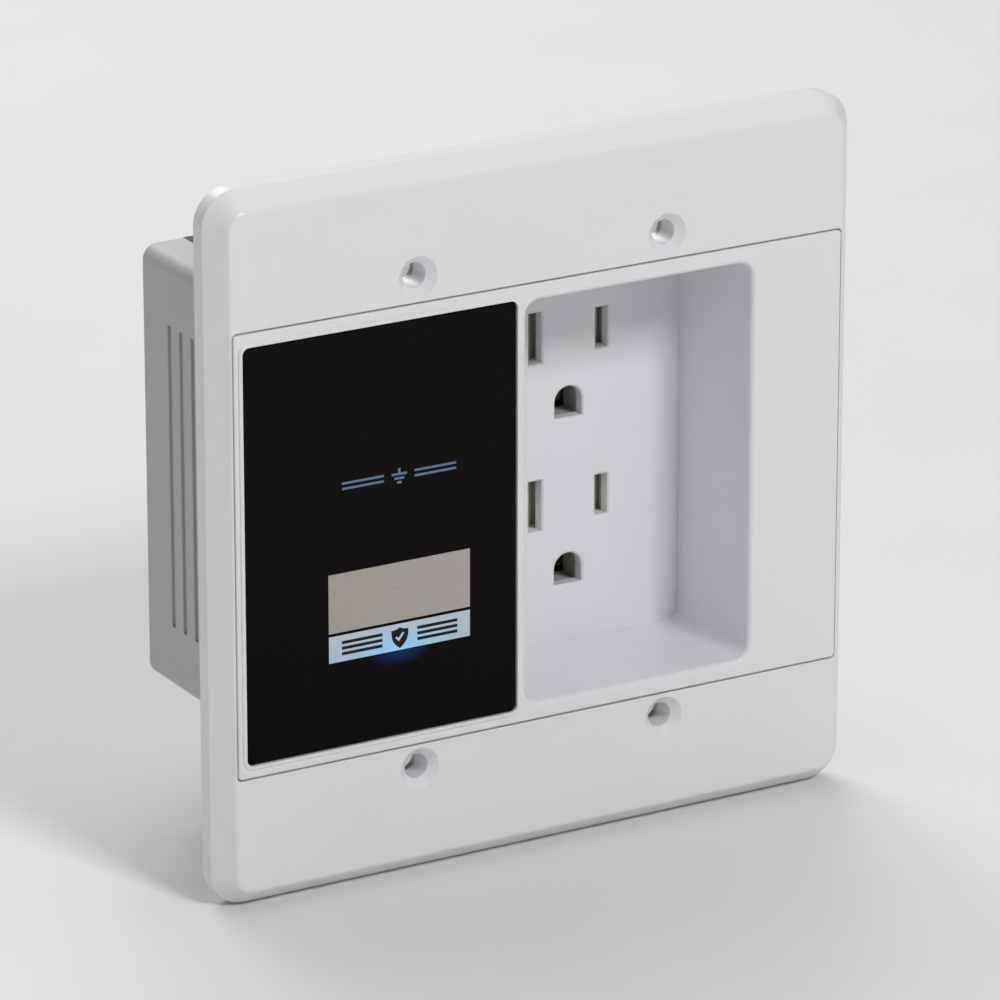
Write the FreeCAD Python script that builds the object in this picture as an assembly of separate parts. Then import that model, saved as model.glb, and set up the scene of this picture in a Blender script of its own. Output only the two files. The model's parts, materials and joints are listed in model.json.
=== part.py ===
# In-wall surge protector with a recessed dual outlet, for a two-gang wall box.
# Millimetres. X to the right and Z up as seen from the room, +Y into the wall.
# The origin is the centre of the four box-screw holes, on the wall's surface (Y = 0).
import FreeCAD
import Part
import math
import os

V = FreeCAD.Vector

# ---- driving dimensions -------------------------------------------------------------
GANG_SPACING = 46.04          # box screws, side to side (1 13/16 in)
SCREW_SPACING = 83.34         # box screws, top to bottom (3 9/32 in)
BOX_SCREW_HOLE_R = 2.1        # clears a 6-32 screw
COUNTERSINK_R = 3.5

PLATE_W = 119.0
PLATE_H = 120.0
PLATE_T = 6.5
PLATE_CORNER_R = 6.0
BEVEL_W = 3.0                 # bevel round the plate, measured across the face
BEVEL_DEPTH = 3.7             # and along Y
PLATE_RIM = 2.8               # thickness of the plate's outer wall
PLATE_SKIN = 2.4
YOKE_W = 107.0
YOKE_H = 102.0
YOKE_T = 1.2

PANEL_W = 112.4               # centre panel, the front of the bezel
PANEL_H = 74.5
SEAM_GAP = 0.3                # seams above and below the panel
SIDE_GAP = 0.15
PANEL_FRONT = -6.75
PANEL_T = 2.4

LENS_X = (-54.7, -5.2)
LENS_H = 70.0
LENS_FRONT = -6.65
LENS_BACK = -4.85
SEAT_BACK = -3.2              # back of the ledge that the lens rests on
SEAT_LAP = 1.8

BADGE_X = (-39.7, -13.8)      # blank badge in the window, with the lit bar under it
BADGE_Z = (-15.4, -5.4)
BADGE_DEPTH = 0.4
LIGHT_BAR_Z = (-20.4, -15.9)
GROUND_MARK_X = -26.7         # centre of the lit earth mark
GROUND_MARK_Z = 9.2
FLANGE_T = 0.2                # flanges of the light guides, behind the window

WELL_X = (-3.3, 39.2)         # inside of the recess
WELL_H = 68.8
WELL_FLOOR = 16.0             # front of the outlets' face
WELL_WALL = 1.2
WELL_CORNER_R = 2.5

OUTLET_X = 18.0               # NEMA 5-15 outlets
OUTLET_Z = {"upper": 19.3, "lower": -9.9}    # height of each pair of blade slots
BLADE_SPACING = 12.7
GROUND_DROP = 11.9            # ground hole below the blade slots
NEUTRAL_SLOT = (2.5, 8.9)
LINE_SLOT = (2.4, 7.1)
GROUND_W = 5.2
GROUND_H = 5.4

FACE_T = 2.2
SHUTTER_X = (8.4, 26.0)       # shutters at rest
SHUTTER_H = 10.6
SHUTTER_T = 2.4
SHUTTER_TRAVEL = 3.1
SHUTTER_WINDOW = (3.0, 9.4)   # hole that comes under the neutral slot
SPRING_X = (1.5, 8.3)
SPRING_R = 0.95
SPRING_WIRE_R = 0.16
SPRING_TURNS = 6
RETAINER_BACK = 23.2
CONTACT_Y = (24.0, 33.6)      # contact leaves
BUS_T = 0.8
BASE_BACK = 36.2

HOUSING_W = 93.0
HOUSING_H = 74.6
HOUSING_BACK = 44.0
HOUSING_SIDE = 1.6
HOUSING_TOP = 1.4
BOSS_X = 42.4                 # columns that the four housing screws run through
BOSS_Z = 33.2

BOARD_Y = (8.0, 9.6)
BOARD_X = (-44.2, -6.6)
BOARD_H = 61.0
VARISTOR_X = -33.0
VARISTOR_Z = {"line_neutral": 14.0, "line_ground": 5.0, "neutral_ground": -4.0}
VARISTOR_R = 10.0
VARISTOR_T = 5.0
THERMAL_FUSE_Z = (9.5, 0.5, -8.6)
FUSE_X = -16.0                # main fuse, 5 x 20 mm
FUSE_Z = 6.0
FUSE_L = 20.0
FUSE_CAP_L = 4.5
CAPACITOR = ((-42.0, -26.0), (10.2, 24.0), (-22.5, -12.5))
CHOKE_X = -16.0
CHOKE_Y = (11.6, 18.6)
CHOKE_Z = -15.5
CHOKE_OUTER_R = 8.4
CHOKE_INNER_R = 4.6
CHOKE_TURNS = 9               # in each of the two windings
CHOKE_TURN_STEP = 16.0        # degrees

TERMINAL_PITCH = 11.2
TERMINAL_MID_X = -21.9
BLOCK_X = (-38.8, -5.0)
BLOCK_Y = (28.1, 44.0)
BLOCK_Z = (24.1, 37.3)
WIRE_HOLE_R = 1.5
WIRE_HOLE_Z = 31.8
CLAMP_SCREW_R = 2.07          # 8-32 screw
CLAMP_SCREW_DX = -1.3         # clamp screw, from its terminal's centre
CLAMP_SCREW_Y = 34.5
WIRE_HOLE_DX = 3.1            # wire hole, from its terminal's centre
PLATE_Z = (33.6, 34.6)        # terminal plates, under the screw heads
CLAMP_Z = (28.4, 30.0)        # clamps, at their lowest

JUMPER_R = 1.1                # jumper wires with their insulation
JUMPER_Y = 39.2
JUMPER_DROP_X = -9.2
JUMPER_BEND_R = 12.0

# ---- places worked out from the dimensions -------------------------------------------
BOX_SCREWS = [(sx * GANG_SPACING / 2, sz * SCREW_SPACING / 2) for sx in (-1, 1) for sz in (-1, 1)]
CORNER_BOSSES = [(sx * BOSS_X, sz * BOSS_Z) for sx in (-1, 1) for sz in (-1, 1)]
NEUTRAL_X = OUTLET_X - BLADE_SPACING / 2
LINE_X = OUTLET_X + BLADE_SPACING / 2
FACE_BACK = WELL_FLOOR + FACE_T
SHUTTER_FRONT = FACE_BACK + 0.15
SHUTTER_BACK = SHUTTER_FRONT + SHUTTER_T
SPRING_Y = (SHUTTER_FRONT + SHUTTER_BACK) / 2
FLANGE_BACK = LENS_BACK + FLANGE_T
RECEPTACLE_SCREWS = [(x, z) for x in (2.6, 33.4) for z in (-27.5, 27.5)]
BOARD_SCREWS = [(x, z) for x in (-40.0, -13.0) for z in (-27.0, 27.0)]
BOARD_BACK = BOARD_Y[1]
VARISTOR_Y = BOARD_BACK + 2.0 + VARISTOR_R
FUSE_Y = BOARD_BACK + 4.4
TERMINAL_X = {
    "ground": TERMINAL_MID_X - TERMINAL_PITCH,
    "neutral": TERMINAL_MID_X,
    "line": TERMINAL_MID_X + TERMINAL_PITCH,
}
BUS_X = {"neutral": NEUTRAL_X, "ground": OUTLET_X, "line": LINE_X}
BUS_TAB_Z = {"neutral": -4.0, "ground": 4.0, "line": 12.0}


# ---- helpers ---------------------------------------------------------------------------
def span(centre, width):
    """The two ends of a width about a centre."""
    return (centre - width / 2, centre + width / 2)


def grown(ends, by):
    """The two ends moved apart by the same amount."""
    return (ends[0] - by, ends[1] + by)


def box(x, y, z):
    """A block between two values along each axis."""
    return Part.makeBox(x[1] - x[0], y[1] - y[0], z[1] - z[0], V(x[0], y[0], z[0]))


def rod_x(y, z, radius, x):
    return Part.makeCylinder(radius, x[1] - x[0], V(x[0], y, z), V(1, 0, 0))


def rod_y(x, z, radius, y):
    return Part.makeCylinder(radius, y[1] - y[0], V(x, y[0], z), V(0, 1, 0))


def rod_z(x, y, radius, z):
    return Part.makeCylinder(radius, z[1] - z[0], V(x, y, z[0]), V(0, 0, 1))


def prism_xy(points, z):
    """A polygon given in X and Y, extruded between two heights."""
    corners = [V(x, y, z[0]) for x, y in points]
    outline = Part.makePolygon(corners + [corners[0]])
    return Part.Face(outline).extrude(V(0, 0, z[1] - z[0]))


def rounded(x, y, z, radius):
    """A block whose four edges along Y are rounded."""
    block = box(x, y, z)
    edges = [e for e in block.Edges if e.BoundBox.YLength > 0.9 * (y[1] - y[0])]
    return block.makeFillet(radius, edges)


def edges_at(shape, y, x=(-100, 100), z=(-100, 100)):
    """Edges that lie in the plane Y = y, inside the given X and Z ranges."""
    found = []
    for edge in shape.Edges:
        b = edge.BoundBox
        flat = abs(b.YMin - y) < 1e-4 and abs(b.YMax - y) < 1e-4
        inside = b.XMin > x[0] and b.XMax < x[1] and b.ZMin > z[0] and b.ZMax < z[1]
        if flat and inside:
            found.append(edge)
    return found


def joined(shapes):
    """All shapes fused into one clean solid."""
    return shapes[0].multiFuse(shapes[1:]).removeSplitter()


def group(shapes):
    """Separate solids that share one node."""
    return Part.makeCompound(shapes)


def ground_hole(z, y):
    """D-shaped prism of a ground hole: flat at the bottom, round at the top."""
    r = GROUND_W / 2
    dome_z = z + GROUND_H / 2 - r
    lower_part = box(span(OUTLET_X, GROUND_W), y, (z - GROUND_H / 2, dome_z))
    return rod_y(OUTLET_X, dome_z, r, y).fuse(lower_part)


def cross_recess(centre, direction, head_r, depth):
    """Cross-shaped driver recess, cut downwards from the top of a screw's head."""
    length = head_r * 1.25
    width = head_r * 0.3
    bars = [Part.makeBox(length, width, depth), Part.makeBox(width, length, depth)]
    bars[0].translate(V(-length / 2, -width / 2, 0))
    bars[1].translate(V(-width / 2, -length / 2, 0))
    cross = bars[0].fuse(bars[1])
    cross.Placement = FreeCAD.Placement(V(*centre), FreeCAD.Rotation(V(0, 0, 1), V(*direction)))
    return cross


def screw_y(x, z, seat_y, tip_y, shank_r, head_r, head_t):
    """Screw along Y whose head is on the +Y side of its seat."""
    head = rod_y(x, z, head_r, (seat_y, seat_y + head_t))
    head = head.makeFillet(head_t * 0.4, edges_at(head, seat_y + head_t))
    head = head.cut(cross_recess((x, seat_y + head_t, z), (0, -1, 0), head_r, head_t * 0.6))
    shank = rod_y(x, z, shank_r, (tip_y, seat_y))
    shank = shank.makeChamfer(shank_r * 0.5, edges_at(shank, tip_y))
    return joined([head, shank])


# ---- front: plate, bezel and indicator window -----------------------------------------
def wall_plate():
    back_of_skin = -PLATE_T + PLATE_SKIN
    plate = rounded(span(0, PLATE_W), (-PLATE_T, 0), span(0, PLATE_H), PLATE_CORNER_R)
    plate = plate.makeChamfer(BEVEL_DEPTH, BEVEL_W, edges_at(plate, -PLATE_T))
    plate = plate.makeFillet(0.9, edges_at(plate, -PLATE_T))
    pocket = rounded(
        span(0, PLATE_W - 2 * PLATE_RIM), (back_of_skin, 1),
        span(0, PLATE_H - 2 * PLATE_RIM), PLATE_CORNER_R - PLATE_RIM)
    plate = plate.cut(pocket)
    posts = [rod_y(x, z, 4.2, (back_of_skin - 0.5, -YOKE_T)) for x, z in BOX_SCREWS]
    ribs = [box(span(0, PLATE_W - 2 * PLATE_RIM + 0.4), (back_of_skin - 0.5, -2.6), span(z, 1.2))
            for z in (-53.0, 53.0)]
    plate = joined([plate] + posts + ribs)
    aperture = rounded(
        span(0, PANEL_W + 2 * SIDE_GAP), (-PLATE_T - 1, 1), span(0, PANEL_H + 2 * SEAM_GAP), 0.8)
    plate = plate.cut(aperture)
    for x, z in BOX_SCREWS:
        sink = COUNTERSINK_R - BOX_SCREW_HOLE_R
        cone = Part.makeCone(COUNTERSINK_R, BOX_SCREW_HOLE_R, sink, V(x, -PLATE_T, z), V(0, 1, 0))
        plate = plate.cut(rod_y(x, z, BOX_SCREW_HOLE_R, (-PLATE_T - 1, 1))).cut(cone)
    return plate


def front_bezel():
    lens_z = span(0, LENS_H)
    well_z = span(0, WELL_H)
    panel_back = PANEL_FRONT + PANEL_T
    panel = rounded(span(0, PANEL_W), (PANEL_FRONT, panel_back), span(0, PANEL_H), 0.7)
    panel = panel.makeFillet(0.35, edges_at(panel, PANEL_FRONT))
    bead_front = PANEL_FRONT - 0.25
    bead = rounded(grown(LENS_X, 0.75), (bead_front, PANEL_FRONT + 1), grown(lens_z, 0.75), 1.8)
    bead = bead.makeFillet(0.2, edges_at(bead, bead_front))
    seat = box((-PANEL_W / 2, WELL_X[0]), (panel_back - 0.5, SEAT_BACK), span(0, LENS_H + 3.0))
    well = rounded(
        grown(WELL_X, WELL_WALL), (panel_back - 0.5, WELL_FLOOR), grown(well_z, WELL_WALL),
        WELL_CORNER_R + WELL_WALL)
    bezel = joined([panel, bead, seat, well])

    lens_pocket = rounded(grown(LENS_X, 0.1), (bead_front - 1, LENS_BACK), grown(lens_z, 0.1), 1.2)
    lens_window = rounded(
        grown(LENS_X, -SEAT_LAP), (LENS_BACK - 1, SEAT_BACK + 1), grown(lens_z, -SEAT_LAP), 1.0)
    recess = rounded(WELL_X, (PANEL_FRONT - 1, WELL_FLOOR + 1), well_z, WELL_CORNER_R)
    bezel = bezel.cut(lens_pocket).cut(lens_window).cut(recess)
    lip = edges_at(bezel, PANEL_FRONT, grown(WELL_X, 0.2), grown(well_z, 0.2))
    bezel = bezel.makeFillet(0.9, lip)

    rib_outer = box(span(0, HOUSING_W), (panel_back - 0.3, -YOKE_T), span(0, 74.2))
    rib_inner = box(span(0, HOUSING_W - 3.0), (panel_back - 1, 0), span(0, 71.7))
    bosses = []
    for x, z in CORNER_BOSSES:
        start = SEAT_BACK - 0.4 if x < 0 else panel_back - 0.4
        bosses.append(rod_y(x, z, 2.2, (start, WELL_FLOOR)))
    bezel = joined([bezel, rib_outer.cut(rib_inner)] + bosses)
    bezel = bezel.cut(recess)
    for x, z in CORNER_BOSSES:
        bezel = bezel.cut(rod_y(x, z, 1.15, (4.0, WELL_FLOOR + 1)))
    return bezel


def ground_mark(y):
    """Earth symbol between two pairs of thin bars, as a set of prongs along Y."""
    x = GROUND_MARK_X
    z = GROUND_MARK_Z
    prongs = [box(span(x, 0.45), y, (z + 0.25, z + 1.3))]
    for row, width in enumerate((2.8, 1.8, 0.8)):
        prongs.append(box(span(x, width), y, span(z + 0.3 - 0.7 * row, 0.4)))
    for side in (-1, 1):
        prongs.append(box(span(x + side * 6.6, 7.6), y, span(z + 0.45, 0.4)))
        prongs.append(box(span(x + side * 6.6, 7.6), y, span(z - 0.45, 0.4)))
    return prongs


def indicator_lens():
    lens = rounded(LENS_X, (LENS_FRONT, LENS_BACK), span(0, LENS_H), 1.1)
    lens = lens.makeFillet(0.25, edges_at(lens, LENS_FRONT))
    through = (LENS_FRONT - 1, LENS_BACK + 1)
    lens = lens.cut(box(BADGE_X, (LENS_FRONT - 1, LENS_FRONT + BADGE_DEPTH), BADGE_Z))
    lens = lens.cut(box(BADGE_X, through, LIGHT_BAR_Z))
    for prong in ground_mark(through):
        lens = lens.cut(prong)
    return lens


def badge_plate():
    return box(BADGE_X, (LENS_FRONT, LENS_FRONT + BADGE_DEPTH), BADGE_Z)


def protected_light_bar():
    bar = box(BADGE_X, (LENS_FRONT, LENS_BACK + 0.1), LIGHT_BAR_Z)
    flange = box(grown(BADGE_X, 1.0), (LENS_BACK, FLANGE_BACK), grown(LIGHT_BAR_Z, 1.0))
    return joined([bar, flange])


def ground_light_guide():
    flange = box(span(GROUND_MARK_X, 23.4), (LENS_BACK, FLANGE_BACK), span(GROUND_MARK_Z, 4.2))
    return joined([flange] + ground_mark((LENS_FRONT, LENS_BACK + 0.1)))


def light_baffle():
    plate_y = (FLANGE_BACK + 0.05, SEAT_BACK - 0.2)
    plate = box((-44.6, -7.4), plate_y, span(0, 61.6))
    shaft_y = (plate_y[0], BOARD_Y[0] - 0.4)
    shafts = [(grown(BADGE_X, 0.2), grown(LIGHT_BAR_Z, 0.2)),
              (span(GROUND_MARK_X, 22.8), span(GROUND_MARK_Z, 3.8))]
    walls = [box(grown(x, 1.2), shaft_y, grown(z, 1.2)) for x, z in shafts]
    legs = [rod_y(x, z, 2.2, (plate_y[1] - 0.5, BOARD_Y[0])) for x, z in BOARD_SCREWS]
    baffle = joined([plate] + walls + legs)
    for x, z in shafts:
        baffle = baffle.cut(box(x, grown(shaft_y, 1), z))
    for x, z in BOARD_SCREWS:
        baffle = baffle.cut(rod_y(x, z, 1.0, (2.0, BOARD_Y[0] + 1)))
    return baffle


def mounting_yoke():
    yoke = rounded(span(0, YOKE_W), (-YOKE_T, 0), span(0, YOKE_H), 5.0)
    window = rounded(span(0, 89.5), (-YOKE_T - 1, 1), span(0, 71.5), 1.2)
    yoke = yoke.cut(window)
    ground_tab = joined([
        box((-46.0, -43.7), (-YOKE_T, 0), span(0, 6.0)),
        box((-44.7, -43.7), (-YOKE_T, BOARD_Y[0]), span(0, 6.0)),
    ])
    yoke = joined([yoke, ground_tab])
    for x, z in BOX_SCREWS:
        yoke = yoke.cut(rod_y(x, z, BOX_SCREW_HOLE_R, (-YOKE_T - 1, 1)))
    # scored break-off ears beside the screws, and a notch between the two gangs
    for sx in (-1, 1):
        for sz in (-1, 1):
            for offset in (-7.5, 7.5):
                x = sx * GANG_SPACING / 2 + offset
                yoke = yoke.cut(rounded(span(x, 1.2), (-YOKE_T - 1, 1), span(sz * 46.2, 5.0), 0.55))
    for sz in (-1, 1):
        yoke = yoke.cut(rounded(span(0, 12.0), (-YOKE_T - 1, 1), span(sz * YOKE_H / 2, 6.0), 1.5))
    return yoke


# ---- outlets: face, shutters, contacts and base ------------------------------------------
def receptacle_face():
    face = rounded((-4.3, 39.9), (WELL_FLOOR, FACE_BACK), span(0, 70.8), 2.0)
    through = (WELL_FLOOR - 1, FACE_BACK + 1)
    for z in OUTLET_Z.values():
        face = face.cut(box(span(NEUTRAL_X, NEUTRAL_SLOT[0]), through, span(z, NEUTRAL_SLOT[1])))
        face = face.cut(box(span(LINE_X, LINE_SLOT[0]), through, span(z, LINE_SLOT[1])))
        face = face.cut(ground_hole(z - GROUND_DROP, through))
    mouths = edges_at(face, WELL_FLOOR, (NEUTRAL_X - 3, LINE_X + 3), (-30, 30))
    face = face.makeChamfer(0.3, mouths)
    bosses = [rod_y(x, z, 2.4, (FACE_BACK - 0.5, FACE_BACK + 4.4)) for x, z in RECEPTACLE_SCREWS]
    face = joined([face] + bosses)
    for x, z in RECEPTACLE_SCREWS:
        face = face.cut(rod_y(x, z, 1.0, (FACE_BACK + 0.4, FACE_BACK + 5)))
    return face


def shutter(z):
    """Sliding shutter: each blade presses on a ramp, and its window slides under the slot."""
    plate = rounded(SHUTTER_X, (SHUTTER_FRONT, SHUTTER_BACK), span(z, SHUTTER_H), 0.6)
    window_x = span(NEUTRAL_X + SHUTTER_TRAVEL, SHUTTER_WINDOW[0])
    plate = plate.cut(box(window_x, (SHUTTER_FRONT - 1, SHUTTER_BACK + 1), span(z, SHUTTER_WINDOW[1])))
    ramp_depth = SHUTTER_T - 0.4
    for high_x, low_x, height in ((10.3, window_x[0] + 0.1, 9.4), (23.0, SHUTTER_X[1] + 0.1, 7.8)):
        corners = [(high_x, SHUTTER_FRONT - 0.01), (low_x, SHUTTER_FRONT - 0.01),
                   (low_x, SHUTTER_FRONT + ramp_depth)]
        plate = plate.cut(prism_xy(corners, span(z, height)))
    return plate


def shutter_spring(z):
    length = SPRING_X[1] - SPRING_X[0] - 2 * SPRING_WIRE_R
    helix = Part.makeHelix(length / SPRING_TURNS, length, SPRING_R)
    section = Part.Wire(Part.makeCircle(SPRING_WIRE_R, V(SPRING_R, 0, 0), V(0, 1, 0)))
    coil = Part.Wire(helix.Edges).makePipeShell([section], True, True)
    start = V(SPRING_X[0] + SPRING_WIRE_R, SPRING_Y, z)
    coil.Placement = FreeCAD.Placement(start, FreeCAD.Rotation(V(0, 1, 0), 90))
    return coil


def shutter_retainer():
    block = rounded((-4.1, 39.7), (FACE_BACK, RETAINER_BACK), span(0, 70.4), 1.8)
    pocket_y = (FACE_BACK - 1, SHUTTER_BACK + 0.15)
    through = (FACE_BACK - 1, RETAINER_BACK + 1)
    for z in OUTLET_Z.values():
        pocket_x = (SHUTTER_X[0] - SHUTTER_TRAVEL - 0.15, SHUTTER_X[1] + 0.3)
        block = block.cut(box(pocket_x, pocket_y, span(z, SHUTTER_H + 0.3)))
        block = block.cut(box((SPRING_X[0] - 0.1, pocket_x[0] + 0.1), pocket_y, span(z, 2.7)))
        block = block.cut(box(span(NEUTRAL_X, 3.4), through, span(z, 10.0)))
        block = block.cut(box(span(LINE_X, 3.4), through, span(z, 8.4)))
        block = block.cut(box(span(OUTLET_X, 6.4), through, span(z - GROUND_DROP, 6.4)))
    for x, z in RECEPTACLE_SCREWS:
        block = block.cut(rod_y(x, z, 2.5, through))
    return block


def contact_leaves(x, z, half_gap, thickness, height):
    """Two facing spring leaves with flared mouths, which grip a blade or a pin."""
    leaves = []
    inner = half_gap
    outer = half_gap + thickness
    flare = 0.5
    mouth_y = CONTACT_Y[0]
    throat_y = mouth_y + 1.4
    root_y = CONTACT_Y[1] + 0.1
    for side in (-1, 1):
        points = [(inner + flare, mouth_y), (outer + flare, mouth_y), (outer, throat_y),
                  (outer, root_y), (inner, root_y), (inner, throat_y)]
        if side < 0:
            points = points[::-1]
        leaves.append(prism_xy([(x + side * dx, y) for dx, y in points], span(z, height)))
    return leaves


def bus_bar(name):
    """Strip that joins the upper and lower contacts of one pole, with a tab for its wire."""
    x = BUS_X[name]
    drop = GROUND_DROP if name == "ground" else 0.0
    half_gap, thickness, height = (2.0, 0.6, 5.0) if name == "ground" else (0.75, 0.6, 6.4)
    heights = [z - drop for z in OUTLET_Z.values()]
    pieces = []
    for z in heights:
        pieces += contact_leaves(x, z, half_gap, thickness, height)
    strip_w = 2 * (half_gap + thickness)
    ends = (min(heights) - height / 2, max(heights) + height / 2)
    pieces.append(box(span(x, strip_w), (CONTACT_Y[1], CONTACT_Y[1] + BUS_T), ends))
    tab_y = (CONTACT_Y[1] + BUS_T - 0.1, JUMPER_Y + 1.8)
    pieces.append(box(span(x, 0.8), tab_y, span(BUS_TAB_Z[name], 4.4)))
    return joined(pieces)


def receptacle_base():
    base = rounded((0.0, 36.0), (RETAINER_BACK, BASE_BACK), (-30.0, 30.0), 2.0)
    base = base.makeChamfer(0.8, edges_at(base, BASE_BACK))
    cavity_y = (RETAINER_BACK - 1, CONTACT_Y[1] + BUS_T + 0.2)
    slots_y = (cavity_y[1] - 1, BASE_BACK + 1)
    for name, x in BUS_X.items():
        width, z_range = (6.4, (-26.5, 12.0)) if name == "ground" else (4.6, (-16.0, 25.4))
        base = base.cut(box(span(x, width), cavity_y, z_range))
        base = base.cut(box(span(x, 1.6), slots_y, span(BUS_TAB_Z[name], 5.2)))
    for x, z in RECEPTACLE_SCREWS:
        base = base.cut(rod_y(x, z, 1.15, (RETAINER_BACK - 1, BASE_BACK + 1)))
    # cored pockets that keep the moulding's walls even
    for z in span(0, 36.0):
        base = base.cut(box((29.6, 34.4), (BASE_BACK - 7.0, BASE_BACK + 1), span(z, 9.0)))
    return base


def receptacle_screws():
    tip_y = FACE_BACK + 0.9
    return group([screw_y(x, z, BASE_BACK, tip_y, 0.95, 2.3, 1.4) for x, z in RECEPTACLE_SCREWS])


# ---- surge suppression board ------------------------------------------------------------
def surge_board():
    board = box(BOARD_X, BOARD_Y, span(0, BOARD_H))
    for x, z in BOARD_SCREWS:
        board = board.cut(rod_y(x, z, 1.2, grown(BOARD_Y, 1)))
    return board


def varistor(z):
    """Coated disc on two leads."""
    disc = rod_z(VARISTOR_X, VARISTOR_Y, VARISTOR_R, span(z, VARISTOR_T))
    disc = disc.makeFillet(1.7, [e for e in disc.Edges if e.BoundBox.ZLength < 1e-6])
    leads = [rod_y(VARISTOR_X + dx, z, 0.4, (BOARD_BACK, VARISTOR_Y)) for dx in (-3.75, 3.75)]
    return joined([disc] + leads)


def axial_part(x, y, z, radius, length, lead_r):
    """Component lying along X on two bent leads that stand on the board."""
    body = rod_x(y, z, radius, span(x, length))
    body = body.makeFillet(radius * 0.35, [e for e in body.Edges if e.BoundBox.XLength < 1e-6])
    reach = length / 2 + 1.6
    pieces = [body, rod_x(y, z, lead_r, span(x, 2 * reach))]
    for side in (-1, 1):
        pieces.append(Part.makeSphere(lead_r, V(x + side * reach, y, z)))
        pieces.append(rod_y(x + side * reach, z, lead_r, (BOARD_BACK, y)))
    return joined(pieces)


def thermal_fuses():
    return group([axial_part(VARISTOR_X, VARISTOR_Y, z, 1.6, 9.0, 0.35) for z in THERMAL_FUSE_Z])


def board_resistors():
    return group([axial_part(-20.0, BOARD_BACK + 1.4, z, 1.2, 6.4, 0.3) for z in (19.0, 22.4)])


def board_diodes():
    return group([axial_part(-36.0, BOARD_BACK + 1.6, z, 1.35, 5.2, 0.4) for z in (19.4, 23.0)])


def line_fuse():
    return rod_z(FUSE_X, FUSE_Y, 2.45, span(FUSE_Z, FUSE_L - 2 * FUSE_CAP_L))


def fuse_caps():
    caps = []
    for side in (-1, 1):
        centre = FUSE_Z + side * (FUSE_L - FUSE_CAP_L) / 2
        cap = rod_z(FUSE_X, FUSE_Y, 2.6, span(centre, FUSE_CAP_L))
        caps.append(cap.makeFillet(0.4, [e for e in cap.Edges if e.BoundBox.ZLength < 1e-6]))
    return group(caps)


def fuse_clips():
    """Spring clips under the fuse's caps: a foot and two arms each."""
    clips = []
    for side in (-1, 1):
        z = span(FUSE_Z + side * (FUSE_L - FUSE_CAP_L) / 2, 3.6)
        foot = box(span(FUSE_X, 6.6), (BOARD_BACK, BOARD_BACK + 0.6), z)
        arms = [box(span(FUSE_X + sx * 3.0, 0.6), (BOARD_BACK, FUSE_Y + 1.6), z) for sx in (-1, 1)]
        lips = [prism_xy([(FUSE_X + sx * 3.3, FUSE_Y + 1.5), (FUSE_X + sx * 2.7, FUSE_Y + 1.5),
                          (FUSE_X + sx * 3.3, FUSE_Y + 2.9), (FUSE_X + sx * 3.9, FUSE_Y + 2.9)], z)
                for sx in (-1, 1)]
        clips.append(joined([foot] + arms + lips))
    return group(clips)


def filter_capacitor():
    x, y, z = CAPACITOR
    body = box(x, y, z)
    body = body.makeFillet(0.8, body.Edges)
    feet = [rod_y(foot_x, sum(z) / 2, 0.4, (BOARD_BACK, y[0] + 1.4)) for foot_x in grown(x, -2.0)]
    return joined([body] + feet)


def choke_core():
    ring = rod_y(CHOKE_X, CHOKE_Z, CHOKE_OUTER_R, CHOKE_Y)
    ring = ring.cut(rod_y(CHOKE_X, CHOKE_Z, CHOKE_INNER_R, grown(CHOKE_Y, 1)))
    return ring.makeFillet(0.5, edges_at(ring, CHOKE_Y[0]) + edges_at(ring, CHOKE_Y[1]))


def choke_winding():
    """Two windings of nine turns, each turn a loop round the core's section."""
    radial = (CHOKE_INNER_R - 0.1, CHOKE_OUTER_R + 0.1)
    axial = grown(CHOKE_Y, 0.1)
    turns = []
    for start in (-64.0, 116.0):
        for index in range(CHOKE_TURNS):
            outer = box(grown(radial, 0.85), grown(axial, 0.85), span(0, 0.85))
            outer = outer.makeFillet(0.8, [e for e in outer.Edges if e.BoundBox.ZLength > 0.8])
            turn = outer.cut(box(radial, axial, (-1, 1)))
            turn.rotate(V(0, 0, 0), V(0, 1, 0), start + CHOKE_TURN_STEP * index)
            turn.translate(V(CHOKE_X, 0, CHOKE_Z))
            turns.append(turn)
    return group(turns)


def choke_base():
    return rod_y(CHOKE_X, CHOKE_Z, 9.2, (BOARD_BACK, CHOKE_Y[0] - 0.95))


def led(x, z):
    """Round lamp on the front of the board, domed towards the window."""
    flange = rod_y(x, z, 1.8, (BOARD_Y[0] - 0.8, BOARD_Y[0]))
    body = rod_y(x, z, 1.5, (BOARD_Y[0] - 3.2, BOARD_Y[0] - 0.5))
    dome = Part.makeSphere(1.5, V(x, BOARD_Y[0] - 3.2, z))
    return joined([flange, body, dome])


def board_screws():
    return group([screw_y(x, z, BOARD_BACK, 3.2, 0.95, 2.0, 1.2) for x, z in BOARD_SCREWS])


def insulating_barrier():
    """Fish-paper wall between the board and the outlets, folded under the terminal block."""
    return box((-6.0, -5.2), (1.0, 32.0), (-34.5, 23.4))


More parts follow.
